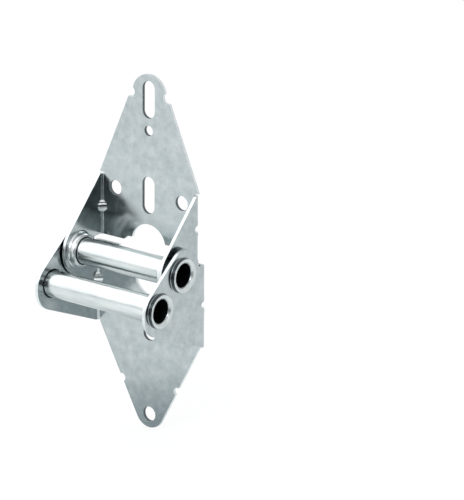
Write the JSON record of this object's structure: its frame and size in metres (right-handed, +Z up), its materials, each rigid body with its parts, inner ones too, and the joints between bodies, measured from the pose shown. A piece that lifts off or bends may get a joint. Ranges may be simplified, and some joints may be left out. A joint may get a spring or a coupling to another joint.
{
  "type": "garage door roller hinge",
  "caption": "Folding steel hinge for a sectional garage door, with diamond-shaped leaves, a pivot tube and a lower tube that carries the track roller's stem.",
  "frame": {"origin": "on the pivot axis, at the middle of the pivot tube, midway between the lower leaf's flanges", "axes": "+X along the pivot tube, +Y back towards the door panel, +Z up towards the upper leaf's tip"},
  "size_m": [0.0782, 0.051, 0.1935],
  "materials": {
    "zinc_sheet": "zinc-plated sheet, satin with faint mottling",
    "zinc_tube": "zinc-plated tube, smooth and brighter than the sheet"
  },
  "bodies": {
    "fixed_leaf": {"lower_leaf": "zinc_sheet", "pivot_tube": "zinc_tube", "roller_tube": "zinc_tube"},
    "swing_leaf": {"upper_leaf": "zinc_sheet"}
  },
  "joints": [
    {"name": "pivot", "type": "hinge", "parent": "fixed_leaf", "child": "swing_leaf", "pos_m": [0, 0, 0], "axis": [1, 0, 0], "range_deg": [-9, 110]}
  ]
}
